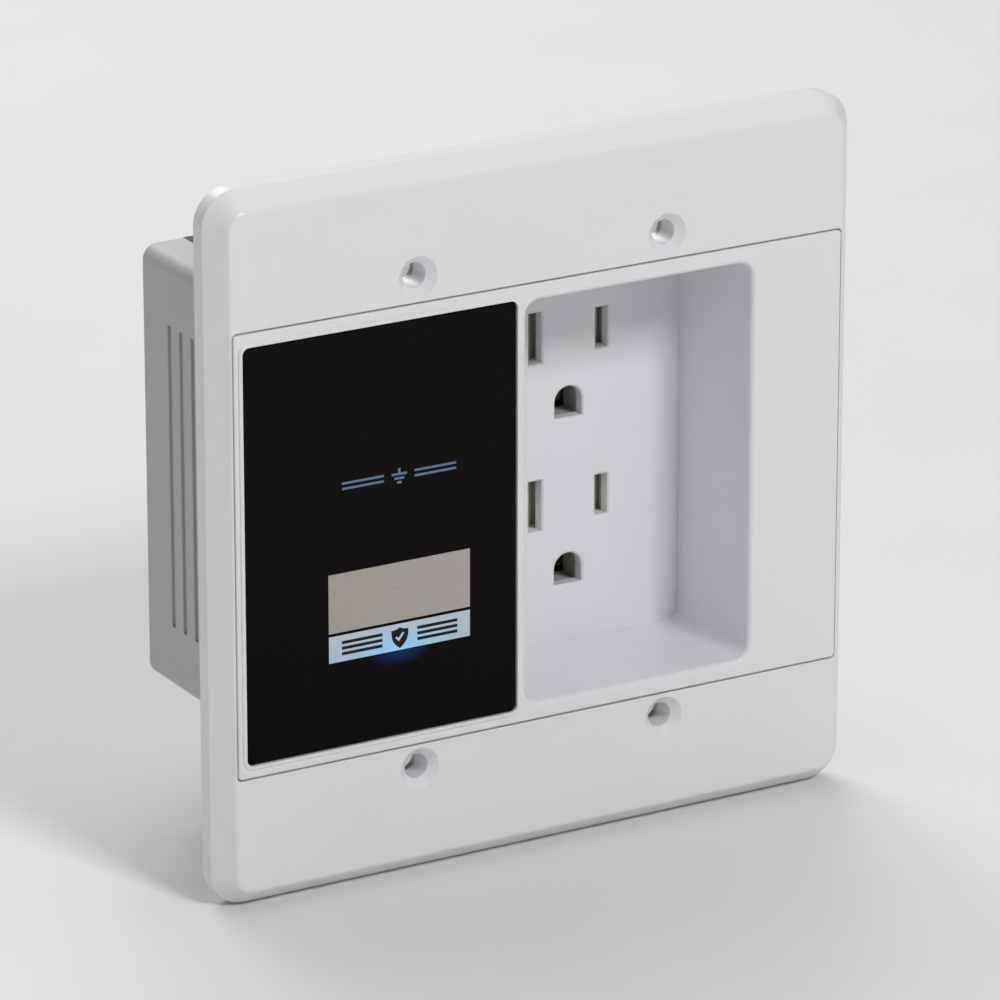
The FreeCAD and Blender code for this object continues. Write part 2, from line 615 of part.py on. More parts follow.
# ---- supply terminals -----------------------------------------------------------------
def terminal_block():
    block = box(BLOCK_X, BLOCK_Y, BLOCK_Z)
    block = block.makeChamfer(0.6, edges_at(block, BLOCK_Y[1]))
    flange = box(grown(BLOCK_X, 0.9), (BLOCK_Y[0], BLOCK_Y[0] + 1.8), (BLOCK_Z[0], BLOCK_Z[1] - 1.5))
    block = joined([block, flange])
    for x in TERMINAL_X.values():
        block = block.cut(box(span(x, 10.0), (BLOCK_Y[0] - 1, 40.6), (25.6, PLATE_Z[1])))
        head_well = (PLATE_Z[1] - 0.5, BLOCK_Z[1] + 1)
        block = block.cut(rod_z(x + CLAMP_SCREW_DX, CLAMP_SCREW_Y, 3.8, head_well))
        block = block.cut(rod_y(x + WIRE_HOLE_DX, WIRE_HOLE_Z, WIRE_HOLE_R, (40.0, BLOCK_Y[1] + 1)))
    return block


def terminal_plate(x):
    """Plate under the screw's head, with a tail that runs down to the board."""
    front = 28.9
    plate = box(span(x, 9.8), (front, 40.4), PLATE_Z)
    tail_x = (x + 1.6, x + 4.0)
    leg = box(tail_x, (front, front + 0.8), (26.7, PLATE_Z[1] - 0.1))
    foot = box(tail_x, (BOARD_BACK, front + 0.8), (26.7, 27.5))
    plate = joined([plate, leg, foot])
    return plate.cut(rod_z(x + CLAMP_SCREW_DX, CLAMP_SCREW_Y, CLAMP_SCREW_R + 0.08, grown(PLATE_Z, 1)))


def clamp(x):
    """Threaded pressure plate that the screw draws up against the wire."""
    screw_x = x + CLAMP_SCREW_DX
    plate = box(span(x, 9.6), (30.2, 39.8), CLAMP_Z)
    collar = rod_z(screw_x, CLAMP_SCREW_Y, 3.1, (CLAMP_Z[0] - 1.5, CLAMP_Z[0] + 0.2))
    body = joined([plate, collar])
    for y in (31.6, 33.0, 36.0, 37.4, 38.8):
        body = body.cut(box((x + 1.0, x + 5.0), span(y, 0.5), (CLAMP_Z[1] - 0.4, CLAMP_Z[1] + 1)))
    return body.cut(rod_z(screw_x, CLAMP_SCREW_Y, CLAMP_SCREW_R + 0.05, grown(CLAMP_Z, 3)))


def clamp_screw(x):
    """Binding-head screw with a straight slot and a cross recess."""
    screw_x = x + CLAMP_SCREW_DX
    head_z = (PLATE_Z[1], PLATE_Z[1] + 1.8)
    head = rod_z(screw_x, CLAMP_SCREW_Y, 3.5, head_z)
    top = [e for e in head.Edges if e.BoundBox.ZMin > head_z[1] - 1e-4]
    head = head.makeFillet(0.7, top)
    head = head.cut(cross_recess((screw_x, CLAMP_SCREW_Y, head_z[1]), (0, 0, -1), 3.2, 1.1))
    head = head.cut(box(span(screw_x, 8.0), span(CLAMP_SCREW_Y, 0.8), (head_z[1] - 0.8, head_z[1] + 1)))
    shank = rod_z(screw_x, CLAMP_SCREW_Y, CLAMP_SCREW_R, (26.3, head_z[0]))
    tip = [e for e in shank.Edges if e.BoundBox.ZMax < 26.3 + 1e-4]
    return joined([head, shank.makeChamfer(0.5, tip)])


def jumper_wire(name):
    """Insulated wire from a bus bar's tab, over the barrier's edge, to the board."""
    z = BUS_TAB_Z[name]
    start = V(BUS_X[name] - 0.4, JUMPER_Y, z)
    bend_start = V(JUMPER_DROP_X + JUMPER_BEND_R, JUMPER_Y, z)
    bend_end = V(JUMPER_DROP_X, JUMPER_Y - JUMPER_BEND_R, z)
    half = JUMPER_BEND_R * (1 - math.sqrt(0.5))
    bend_mid = V(JUMPER_DROP_X + half, JUMPER_Y - half, z)
    end = V(JUMPER_DROP_X, BOARD_BACK, z)
    path = Part.Wire([
        Part.LineSegment(start, bend_start).toShape(),
        Part.Arc(bend_start, bend_mid, bend_end).toShape(),
        Part.LineSegment(bend_end, end).toShape(),
    ])
    section = Part.Wire(Part.makeCircle(JUMPER_R, start, V(-1, 0, 0)))
    return path.makePipeShell([section], True, True)


# ---- rear housing -----------------------------------------------------------------------
def rear_housing():
    shell = rounded(span(0, HOUSING_W), (0, HOUSING_BACK), span(0, HOUSING_H), 2.5)
    shell = shell.makeChamfer(1.0, edges_at(shell, HOUSING_BACK))
    inner_x = span(0, HOUSING_W - 2 * HOUSING_SIDE)
    inner_z = span(0, HOUSING_H - 2 * HOUSING_TOP)
    shell = shell.cut(rounded(inner_x, (-1, HOUSING_BACK - HOUSING_SIDE), inner_z, 1.2))
    columns = []
    for x, z in CORNER_BOSSES:
        columns.append(rod_y(x, z, 2.4, (WELL_FLOOR + 0.1, 41.0)))
        columns.append(rod_y(x, z, 3.2, (40.0, HOUSING_BACK - 0.5)))
    shell = joined([shell] + columns)
    outside = rounded(span(0, HOUSING_W), (-1, HOUSING_BACK + 1), span(0, HOUSING_H), 2.5)
    shell = shell.common(outside)
    for x, z in CORNER_BOSSES:
        shell = shell.cut(rod_y(x, z, 1.25, (WELL_FLOOR, HOUSING_BACK + 1)))
        shell = shell.cut(rod_y(x, z, 2.3, (42.0, HOUSING_BACK + 1)))
    # seat of the terminal block, open to the top and the back
    seat_y = (BLOCK_Y[0] - 0.1, HOUSING_BACK + 1)
    shell = shell.cut(box(grown(BLOCK_X, 0.1), seat_y, (BLOCK_Z[0] - 0.1, HOUSING_H / 2 + 1)))
    # grip grooves down the two sides, and a shallow panel in the back
    for sx in (-1, 1):
        for index in range(7):
            y = 10.0 + 4.0 * index
            shell = shell.cut(box(span(sx * HOUSING_W / 2, 1.0), span(y, 1.2), span(0, 52.0)))
    panel = rounded((-34.0, 34.0), (HOUSING_BACK - 0.5, HOUSING_BACK + 1), (-28.0, 14.0), 3.0)
    return shell.cut(panel)


def housing_screws():
    return group([screw_y(x, z, 42.0, 5.0, 1.1, 2.1, 1.5) for x, z in CORNER_BOSSES])


# ---- all the nodes ------------------------------------------------------------------------
nodes = {
    "wall_plate": wall_plate(),
    "front_bezel": front_bezel(),
    "indicator_lens": indicator_lens(),
    "badge_plate": badge_plate(),
    "protected_light_bar": protected_light_bar(),
    "ground_light_guide": ground_light_guide(),
    "light_baffle": light_baffle(),
    "mounting_yoke": mounting_yoke(),
    "receptacle_face": receptacle_face(),
    "shutter_retainer": shutter_retainer(),
    "receptacle_base": receptacle_base(),
    "receptacle_screws": receptacle_screws(),
    "surge_board": surge_board(),
    "thermal_fuses": thermal_fuses(),
    "line_fuse": line_fuse(),
    "fuse_caps": fuse_caps(),
    "fuse_clips": fuse_clips(),
    "filter_capacitor": filter_capacitor(),
    "choke_core": choke_core(),
    "choke_winding": choke_winding(),
    "choke_base": choke_base(),
    "board_resistors": board_resistors(),
    "board_diodes": board_diodes(),
    "protected_led": led(sum(BADGE_X) / 2, sum(LIGHT_BAR_Z) / 2),
    "ground_led": led(GROUND_MARK_X, GROUND_MARK_Z),
    "board_screws": board_screws(),
    "insulating_barrier": insulating_barrier(),
    "terminal_block": terminal_block(),
    "rear_housing": rear_housing(),
    "housing_screws": housing_screws(),
}
for place, height in OUTLET_Z.items():
    nodes[f"shutter_{place}"] = shutter(height)
    nodes[f"shutter_spring_{place}"] = shutter_spring(height)
for pair, height in VARISTOR_Z.items():
    nodes[f"varistor_{pair}"] = varistor(height)
for pole, terminal_x in TERMINAL_X.items():
    nodes[f"{pole}_bus_bar"] = bus_bar(pole)
    nodes[f"{pole}_jumper_wire"] = jumper_wire(pole)
    nodes[f"{pole}_terminal_plate"] = terminal_plate(terminal_x)
    nodes[f"{pole}_clamp"] = clamp(terminal_x)
    nodes[f"{pole}_screw"] = clamp_screw(terminal_x)

os.makedirs("parts", exist_ok=True)
for name, shape in nodes.items():
    shape.exportStep(f"parts/{name}.step")
    state = "" if shape.isValid() else "  NOT VALID"
    print(f"{name}: {len(shape.Solids)} solids, {shape.Volume:.1f} mm3{state}")
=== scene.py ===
import json
import math

import bmesh
import bpy
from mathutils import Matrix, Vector


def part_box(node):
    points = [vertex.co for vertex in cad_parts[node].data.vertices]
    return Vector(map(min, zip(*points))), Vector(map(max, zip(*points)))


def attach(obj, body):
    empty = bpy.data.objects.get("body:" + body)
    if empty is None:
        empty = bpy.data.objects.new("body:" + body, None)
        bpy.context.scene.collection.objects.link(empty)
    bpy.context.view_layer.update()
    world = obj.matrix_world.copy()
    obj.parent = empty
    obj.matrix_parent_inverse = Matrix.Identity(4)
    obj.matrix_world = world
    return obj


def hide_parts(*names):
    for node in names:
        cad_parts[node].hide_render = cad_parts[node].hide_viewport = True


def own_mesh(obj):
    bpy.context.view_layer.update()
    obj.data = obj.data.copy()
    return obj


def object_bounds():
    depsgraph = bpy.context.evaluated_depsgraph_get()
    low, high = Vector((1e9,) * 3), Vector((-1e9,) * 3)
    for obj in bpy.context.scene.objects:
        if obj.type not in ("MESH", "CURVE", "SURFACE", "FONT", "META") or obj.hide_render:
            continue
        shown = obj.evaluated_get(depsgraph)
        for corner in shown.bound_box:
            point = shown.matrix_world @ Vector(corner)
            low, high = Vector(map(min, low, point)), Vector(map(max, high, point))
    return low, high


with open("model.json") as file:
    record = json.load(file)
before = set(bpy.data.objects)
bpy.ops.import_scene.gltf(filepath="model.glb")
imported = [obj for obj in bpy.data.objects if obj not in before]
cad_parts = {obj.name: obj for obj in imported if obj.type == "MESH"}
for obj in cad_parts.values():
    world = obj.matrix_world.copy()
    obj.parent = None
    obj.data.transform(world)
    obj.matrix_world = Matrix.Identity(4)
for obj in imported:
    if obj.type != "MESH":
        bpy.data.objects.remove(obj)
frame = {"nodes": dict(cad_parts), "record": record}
cad_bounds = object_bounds()
nodes = frame["nodes"]

# Metres, except on a Sheet and where a name or a comment says millimetres.
# X points to the right, Y into the wall and Z up.
MM = 0.001
POLES = ("line", "neutral", "ground")
OUTLETS = ("upper", "lower")
LEAD_REACH = 2.0 * MM         # leads beyond each end of a part that lies on the board
LEAD_FADE = 0.02 * MM         # change from a body's coating to its bare lead
FOOT_FADE = 0.05 * MM         # the same, for a part that stands on the board
SPECK_SHADE = 0.6             # dark specks in moulded plastic, as a share of its colour
DULL_SHADE = 0.75             # dulled patches of metal
THICK_SHADE = 0.7             # where a dipped coating is thick


# ---- materials ---------------------------------------------------------------------------
class Finish:
    """A node material being built: its shader, and short ways to add the nodes that feed it."""

    def __init__(self, name):
        self.material = bpy.data.materials.new(name)
        self.material.use_nodes = True
        self.tree = self.material.node_tree
        self.shader = self.tree.nodes["Principled BSDF"]
        self.place = self.add("ShaderNodeTexCoord").outputs["Object"]
        self.tone = None          # the body's colour, where leads or bands are added to it

    def add(self, kind, inputs=None, **settings):
        node = self.tree.nodes.new(kind)
        for key, value in settings.items():
            setattr(node, key, value)
        for key, value in (inputs or {}).items():
            self.feed(node.inputs[key], value)
        return node

    def feed(self, socket, value):
        if isinstance(value, bpy.types.NodeSocket):
            self.tree.links.new(value, socket)
        else:
            socket.default_value = value

    def set(self, **values):
        """Sets the shader's inputs; an underscore in a name stands for a space."""
        for key, value in values.items():
            self.feed(self.shader.inputs[key.replace("_", " ")], value)
        return self

    def stretched(self, scale):
        """The place in the frame, scaled on each axis, so that a texture is drawn out."""
        inputs = {"Vector": self.place, "Scale": scale}
        return self.add("ShaderNodeMapping", inputs).outputs["Vector"]

    def noise(self, per_mm, detail=4.0, stretch=(1, 1, 1), roughness=0.5):
        """Noise between 0 and 1, with about this many blobs to a millimetre."""
        inputs = {"Vector": self.stretched(stretch), "Scale": per_mm / MM, "Detail": detail,
                  "Roughness": roughness}
        return self.add("ShaderNodeTexNoise", inputs).outputs["Fac"]

    def cells(self, per_mm):
        """A random colour for each crystal, with about this many crystals to a millimetre."""
        inputs = {"Vector": self.place, "Scale": per_mm / MM}
        return self.add("ShaderNodeTexVoronoi", inputs).outputs["Color"]

    def spread(self, value, low, high, start=0.0, end=1.0):
        """The value's span from start to end, mapped to low to high."""
        inputs = {"Value": value, "From Min": start, "From Max": end, "To Min": low, "To Max": high}
        return self.add("ShaderNodeMapRange", inputs).outputs["Result"]

    def blend(self, factor, first, second):
        """A colour between two others."""
        node = self.add("ShaderNodeMix", data_type="RGBA")
        for socket, value in ((node.inputs[0], factor), (node.inputs[6], first), (node.inputs[7], second)):
            self.feed(socket, value)
        return node.outputs[2]

    def combine(self, first, second, operation="ADD"):
        """Two values added, or combined by another operation."""
        return self.add("ShaderNodeMath", {0: first, 1: second}, operation=operation).outputs[0]

    def place_along(self, axis):
        """The point's place along an axis of the frame, in metres."""
        return self.add("ShaderNodeSeparateXYZ", {"Vector": self.place}).outputs[axis]

    def far_from(self, point, squeeze=(1, 1, 1)):
        """Distance from a point of the frame, in metres, with each axis scaled."""
        kind = "ShaderNodeVectorMath"
        moved = self.add(kind, {0: self.place, 1: point}, operation="SUBTRACT").outputs[0]
        scaled = self.add(kind, {0: moved, 1: squeeze}, operation="MULTIPLY").outputs[0]
        return self.add(kind, {0: scaled}, operation="LENGTH").outputs["Value"]

    def relief(self, value, depth_mm, edge_mm=0.0):
        """Bumps the surface by a height map, over edges softened by a radius."""
        inputs = {"Height": value, "Distance": depth_mm * MM, "Strength": 1.0}
        if edge_mm:
            edge = self.add("ShaderNodeBevel", {"Radius": edge_mm * MM}, samples=4)
            inputs["Normal"] = edge.outputs["Normal"]
        self.set(Normal=self.add("ShaderNodeBump", inputs).outputs["Normal"])
        return self


def rgb(red, green, blue):
    return (red, green, blue, 1.0)


def darker(colour, share):
    """The colour with each channel cut to this share."""
    return rgb(*(c * share for c in colour[:3]))


def moulded(name, colour, roughness=0.36, grain_mm=0.004, edge_mm=0.15, coat=0.0, drift=0.05):
    """Injection-moulded plastic: fine spark-eroded grain, faint flow marks and uneven gloss."""
    f = Finish(name)
    flow = f.noise(0.03, 3.0, (1, 1, 2.2))
    speck = f.noise(2.2, 2.0)
    tone = f.blend(f.spread(flow, 0.0, 1.0, 0.3, 0.7), darker(colour, 1 - drift), colour)
    tone = f.blend(f.spread(speck, 0.0, 0.05, 0.55, 0.75), tone, darker(colour, SPECK_SHADE))
    gloss = f.combine(f.spread(flow, -0.05, 0.05), f.spread(speck, roughness - 0.03, roughness + 0.05))
    f.tone = tone
    f.set(Base_Color=tone, Roughness=gloss, Coat_Weight=coat, Coat_Roughness=0.12)
    return f.relief(f.noise(4.5, 3.0), grain_mm, edge_mm)


def white_moulding():
    """White plate plastic: smoother than the rest, and faintly translucent."""
    f = moulded("white_moulding", rgb(0.82, 0.815, 0.85), roughness=0.33, grain_mm=0.003, edge_mm=0.2,
                coat=0.25, drift=0.02)
    return f.set(Subsurface_Weight=0.08, Subsurface_Radius=(0.9, 0.9, 0.8), Subsurface_Scale=MM)


def smoked_window(bar_low):
    """Polished black window with a faint blue bleed under the lit bar, smears and dust."""
    f = Finish("smoked_window")
    smear = f.noise(0.05, 5.0, (1, 1, 0.35), 0.65)
    dust = f.spread(f.noise(1.6, 1.0), 0.0, 1.0, 0.72, 0.76)
    tone = f.blend(dust, rgb(0.0022, 0.0006, 0.0016), rgb(0.006, 0.005, 0.006))
    glow = f.spread(f.far_from(bar_low, (0.45, 1, 1)), 0.16, 0.0, 0.0, 2.6 * MM)
    f.set(Base_Color=tone, Roughness=f.spread(smear, 0.035, 0.11, 0.35, 0.7), Specular_IOR_Level=0.08,
          Emission_Color=rgb(0.02, 0.16, 0.62), Emission_Strength=glow)
    return f.relief(smear, 0.004, 0.15)


def badge_silver(low, high):
    """Blank silver-beige plate, brushed along its width, darker and warmer at its left end, with a faint
    glow in its own colour that is painted light.
    """
    f = Finish("badge_silver")
    brushing = f.noise(6.0, 6.0, (0.04, 1, 1), 0.7)
    across = f.spread(f.place_along("X"), 0.0, 1.0, low.x, high.x)
    tone = f.blend(across, rgb(0.33, 0.295, 0.27), rgb(0.36, 0.335, 0.325))
    tone = f.blend(f.spread(brushing, 0.0, 0.5, 0.35, 0.65), tone, rgb(0.45, 0.42, 0.40))
    # painted light: the plate glows faintly in its own colour, though it is no lamp
    f.set(Base_Color=tone, Metallic=0.25, Roughness=f.spread(brushing, 0.3, 0.5), Emission_Color=tone,
          Emission_Strength=0.12)
    return f.relief(brushing, 0.004)


def lit_bar(low, high):
    """Light pipe lit from behind: pale above, and bluest and brightest under its middle."""
    f = Finish("lit_bar")
    up = f.spread(f.place_along("Z"), 0.0, 1.0, low.z, high.z)
    lamp = Vector(((low.x + high.x) / 2, low.y, low.z))
    near_lamp = f.spread(f.far_from(lamp, (0.45, 1, 1)), 1.0, 0.0, 0.0, 4.5 * MM)
    mottle = f.noise(0.5, 3.0)
    tone = f.blend(up, rgb(0.22, 0.31, 0.38), rgb(0.30, 0.33, 0.39))
    tone = f.blend(near_lamp, tone, rgb(0.12, 0.46, 0.80))
    tone = f.blend(f.spread(mottle, 0.0, 0.3), tone, rgb(0.36, 0.46, 0.54))
    f.set(Base_Color=rgb(0.12, 0.14, 0.16), Roughness=0.22, Emission_Color=tone, Emission_Strength=1.0)
    return f.relief(mottle, 0.002, 0.1)


def lit_mark():
    """Light guide seen dimly through the window."""
    f = Finish("lit_mark")
    mottle = f.noise(0.9, 3.0)
    tone = f.blend(mottle, rgb(0.07, 0.13, 0.25), rgb(0.14, 0.22, 0.36))
    f.set(Base_Color=rgb(0.02, 0.03, 0.05), Roughness=0.2, Emission_Color=tone, Emission_Strength=0.6)
    return f.relief(mottle, 0.002)


def plated(name, colour, roughness=0.3, per_mm=0.25, spangle=0.10, edge_mm=0.1):
    """Plated or rolled metal: crystal spangle, fine scratches and dulled patches."""
    f = Finish(name)
    grain = f.noise(2.5, 5.0, (0.12, 1, 1), 0.7)
    patch = f.cells(per_mm)
    dull = f.noise(0.08, 4.0)
    tone = f.blend(patch, darker(colour, 1 - 2 * spangle), colour)
    tone = f.blend(f.spread(dull, 0.0, 0.3, 0.45, 0.75), tone, darker(colour, DULL_SHADE))
    gloss = f.combine(f.spread(grain, roughness - 0.08, roughness + 0.08), f.spread(dull, -0.05, 0.12))
    f.set(Base_Color=tone, Metallic=1.0, Roughness=gloss)
    return f.relief(grain, 0.006, edge_mm)


def glazed(name, colour, roughness=0.25, orange_peel_mm=0.03, coat=0.5):
    """Dipped or fired coating with a soft orange-peel surface, darker in random patches where it lies
    thick.
    """
    f = Finish(name)
    peel = f.noise(0.7, 2.0)
    fine = f.noise(3.0, 3.0)
    tone = f.blend(f.spread(peel, 0.0, 1.0, 0.35, 0.65), darker(colour, THICK_SHADE), colour)
    f.tone = tone
    f.set(Base_Color=tone, Roughness=f.spread(fine, roughness, roughness + 0.15), Coat_Weight=coat)
    return f.relief(peel, orange_peel_mm, 0.2)


def tin_leads(f, bare):
    """Turns the finish to tinned wire where the mask is 1."""
    dull = f.noise(2.0, 3.0)
    tin = f.blend(dull, rgb(0.50, 0.50, 0.49), rgb(0.66, 0.66, 0.65))
    return f.set(Base_Color=f.blend(bare, f.tone, tin), Metallic=bare)


def axial(f, node, bands=()):
    """Tinned leads outside the body of a part that lies along X, and colour bands round the body.

    Each band is its place from the body's middle, its width and its colour, in millimetres."""
    low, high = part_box(node)
    centre = (low.x + high.x) / 2
    body_half = (high.x - low.x) / 2 - LEAD_REACH
    along = f.combine(f.place_along("X"), centre, "SUBTRACT")
    for place, width, colour in bands:
        inputs = {0: along, 1: place * MM, 2: width / 2 * MM}
        mask = f.add("ShaderNodeMath", inputs, operation="COMPARE").outputs[0]
        f.tone = f.blend(mask, f.tone, colour)
    away = f.add("ShaderNodeMath", {0: along}, operation="ABSOLUTE").outputs[0]
    return tin_leads(f, f.spread(away, 0.0, 1.0, body_half, body_half + LEAD_FADE))


def standing(f, foot_top):
    """Tinned leads below a part's body, towards the board."""
    return tin_leads(f, f.spread(f.place_along("Y"), 1.0, 0.0, foot_top, foot_top + FOOT_FADE))


def fibre_sheet():
    """Grey vulcanised fibre: matted short fibres both ways."""
    f = Finish("fibre_sheet")
    one_way = f.noise(1.4, 5.0, (1, 0.12, 1), 0.75)
    other_way = f.noise(1.4, 5.0, (1, 1, 0.12), 0.75)
    mat = f.combine(one_way, other_way, "MULTIPLY")
    tone = f.blend(f.spread(mat, 0.0, 1.0, 0.15, 0.4), rgb(0.16, 0.16, 0.17), rgb(0.34, 0.34, 0.34))
    return f.set(Base_Color=tone, Roughness=0.85).relief(mat, 0.03)


def circuit_board():
    """Green solder mask over glass cloth, whose weave shows faintly."""
    f = Finish("circuit_board")
    weave = []
    for direction in ("X", "Z"):
        inputs = {"Vector": f.place, "Scale": 0.55 / MM, "Distortion": 0.6}
        weave.append(f.add("ShaderNodeTexWave", inputs, bands_direction=direction).outputs["Fac"])
    cloth = f.combine(weave[0], weave[1], "MULTIPLY")
    tone = f.blend(f.spread(cloth, 0.0, 1.0), rgb(0.008, 0.10, 0.045), rgb(0.02, 0.20, 0.08))
    f.set(Base_Color=tone, Roughness=0.28, Coat_Weight=0.5)
    return f.relief(cloth, 0.01, 0.1)


def clear_epoxy(name, colour):
    """Tinted clear epoxy with a trace of mould lines."""
    f = Finish(name)
    swirl = f.noise(0.8, 2.0)
    tone = f.blend(swirl, colour, rgb(0.85, 0.93, 1.0))
    f.set(Base_Color=tone, Roughness=0.08, Transmission_Weight=0.6, IOR=1.5,
          Emission_Color=colour, Emission_Strength=0.6)
    return f.relief(swirl, 0.01)


def enamelled_copper():
    """Copper wire under amber varnish."""
    f = plated("enamelled_copper", rgb(0.62, 0.24, 0.08), roughness=0.25, per_mm=0.6, spangle=0.08,
               edge_mm=0.15)
    return f.set(Coat_Weight=0.7, Coat_Roughness=0.1, Coat_Tint=rgb(1.0, 0.75, 0.55))


def label_film(low, high):
    """Matt metallised film, a little creased, and darker and browner towards its edges and corners."""
    f = Finish("label_film")
    rolled = f.noise(5.0, 4.0, (1, 1, 0.05), 0.6)
    crease = f.noise(0.12, 3.0, (1, 1, 2.0))
    tone = f.blend(f.spread(rolled, 0.0, 1.0, 0.3, 0.7), rgb(0.52, 0.53, 0.54), rgb(0.62, 0.62, 0.63))
    centre = (low + high) / 2
    edge = f.spread(f.far_from(centre, (0.6, 0, 1)), 0.0, 0.12, 14 * MM, 24 * MM)
    tone = f.blend(edge, tone, rgb(0.42, 0.40, 0.36))
    f.set(Base_Color=tone, Metallic=0.55, Roughness=f.spread(rolled, 0.38, 0.52))
    return f.relief(f.combine(crease, f.spread(rolled, 0.0, 0.1)), 0.05)


def printing_ink(name, colour):
    """Screen-printed ink: slightly uneven cover and a dull edge."""
    f = Finish(name)
    cover = f.noise(3.0, 3.0)
    worn = rgb(*(c * 0.8 + 0.01 for c in colour[:3]))
    f.set(Base_Color=f.blend(f.spread(cover, 0.0, 1.0, 0.55, 0.85), colour, worn),
          Roughness=f.spread(cover, 0.45, 0.6), Specular_IOR_Level=0.2)
    return f.relief(cover, 0.004)


def insulation(name, colour):
    """Extruded wire insulation, drawn along its length, with a faint waxy gloss."""
    return moulded(name, colour, roughness=0.42, grain_mm=0.006, edge_mm=0.0, coat=0.15, drift=0.12)


# the badge and the lit bar as seen in the window, without the flanges behind it
badge_low, badge_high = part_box("badge_plate")
flanged_low, flanged_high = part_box("protected_light_bar")
flange = flanged_high.x - badge_high.x
window_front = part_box("indicator_lens")[0].y
bar_low = Vector((badge_low.x, window_front, flanged_low.z + flange))
bar_high = Vector((badge_high.x, window_front, flanged_high.z - flange))
below_bar = Vector(((bar_low.x + bar_high.x) / 2, window_front, bar_low.z))

board_low, board_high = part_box("surge_board")
VARISTOR_FOOT = 1.6 * MM      # bare leads between the board and each body
CAPACITOR_FOOT = 0.6 * MM

NEAR_BLACK = rgb(0.02, 0.02, 0.02)
STONE = rgb(0.76, 0.75, 0.70)
BRASS = rgb(0.74, 0.52, 0.20)
BROWN, BLACK = rgb(0.12, 0.03, 0.01), rgb(0.01, 0.01, 0.01)
RED, GOLD = rgb(0.45, 0.02, 0.01), rgb(0.55, 0.36, 0.08)
# colour bands: place from the body's middle, width and colour, in millimetres
RESISTOR_BANDS = [(-2.0, 0.6, BROWN), (-0.8, 0.5, BLACK), (0.3, 0.5, RED), (2.0, 0.6, GOLD)]
DIODE_BAND = [(1.7, 0.6, rgb(0.6, 0.6, 0.6))]
FUSE_BAND = [(0.0, 2.2, rgb(0.2, 0.3, 0.5))]

varistor_blue = glazed("varistor_coat", rgb(0.02, 0.10, 0.42), roughness=0.2, orange_peel_mm=0.05)
capacitor_yellow = moulded("capacitor_case", rgb(0.72, 0.46, 0.03), roughness=0.3, grain_mm=0.006,
                           edge_mm=0.2, coat=0.3)
resistor_tan = glazed("resistor_body", rgb(0.55, 0.40, 0.22), roughness=0.35, orange_peel_mm=0.02)
diode_black = moulded("diode_body", NEAR_BLACK, roughness=0.35, grain_mm=0.006)
finishes = {
    "white_moulding": white_moulding(),
    "smoked_window": smoked_window(below_bar),
    "badge_silver": badge_silver(badge_low, badge_high),
    "lit_bar": lit_bar(bar_low, bar_high),
    "lit_mark": lit_mark(),
    "black_moulding": moulded(
        "black_moulding", rgb(0.018, 0.018, 0.020), roughness=0.42, grain_mm=0.008),
    "plated_steel": plated("plated_steel", rgb(0.56, 0.55, 0.52), roughness=0.46),
    "spring_steel": plated(
        "spring_steel", rgb(0.60, 0.60, 0.60), roughness=0.22, per_mm=1.5, spangle=0.05, edge_mm=0.0),
    "shutter_nylon": moulded(
        "shutter_nylon", rgb(0.80, 0.78, 0.66), roughness=0.45, grain_mm=0.006),
    "retainer_nylon": moulded(
        "retainer_nylon", rgb(0.50, 0.50, 0.48), roughness=0.5, grain_mm=0.008),
    "base_phenolic": moulded(
        "base_phenolic", rgb(0.045, 0.035, 0.03), roughness=0.3, grain_mm=0.005, coat=0.3, drift=0.3),
    "contact_brass": plated("contact_brass", BRASS, roughness=0.27, per_mm=0.5, spangle=0.07),
    "nickel_plate": plated(
        "nickel_plate", rgb(0.70, 0.68, 0.64), roughness=0.2, per_mm=0.6, spangle=0.05),
    "green_screw": plated(
        "green_screw", rgb(0.03, 0.34, 0.11), roughness=0.3, per_mm=0.5, spangle=0.12),
    "circuit_board": circuit_board(),
    "varistor_coat": standing(varistor_blue, board_high.y + VARISTOR_FOOT),
    "white_ceramic": glazed("white_ceramic", STONE, roughness=0.5, orange_peel_mm=0.015, coat=0.0),
    "tinned_clip": plated(
        "tinned_clip", rgb(0.62, 0.62, 0.60), roughness=0.38, per_mm=0.8, spangle=0.06),
    "capacitor_case": standing(capacitor_yellow, board_high.y + CAPACITOR_FOOT),
    "ferrite": glazed("ferrite", rgb(0.05, 0.075, 0.06), roughness=0.4, coat=0.2),
    "enamelled_copper": enamelled_copper(),
    "fibre_sheet": fibre_sheet(),
    "resistor_body": axial(resistor_tan, "board_resistors", RESISTOR_BANDS),
    "diode_body": axial(diode_black, "board_diodes", DIODE_BAND),
    "lamp_epoxy": clear_epoxy("lamp_epoxy", rgb(0.35, 0.65, 1.0)),
    "housing_grey": moulded(
        "housing_grey", rgb(0.50, 0.51, 0.53), roughness=0.46, grain_mm=0.012, edge_mm=0.3, drift=0.06),
    "wire_black": insulation("wire_black", NEAR_BLACK),
    "wire_white": insulation("wire_white", rgb(0.75, 0.75, 0.72)),
    "wire_green": insulation("wire_green", rgb(0.02, 0.26, 0.07)),
}
# the thermal fuses share the ceramic slot, with leads and a band of their own
fuse_white = glazed("thermal_fuse_body", STONE, roughness=0.5, orange_peel_mm=0.015, coat=0.0)
of_one_node = {"thermal_fuses": axial(fuse_white, "thermal_fuses", FUSE_BAND)}
black_ink = printing_ink("black_ink", rgb(0.008, 0.008, 0.012))
white_ink = printing_ink("white_ink", rgb(0.75, 0.75, 0.73))
slot_of = {s["node"]: s["material_slot"] for s in frame["record"]["subparts"]}
for node_name, node_object in nodes.items():
    finish = of_one_node.get(node_name) or finishes[slot_of[node_name]]
    for material_slot in node_object.material_slots:
        material_slot.material = finish.material


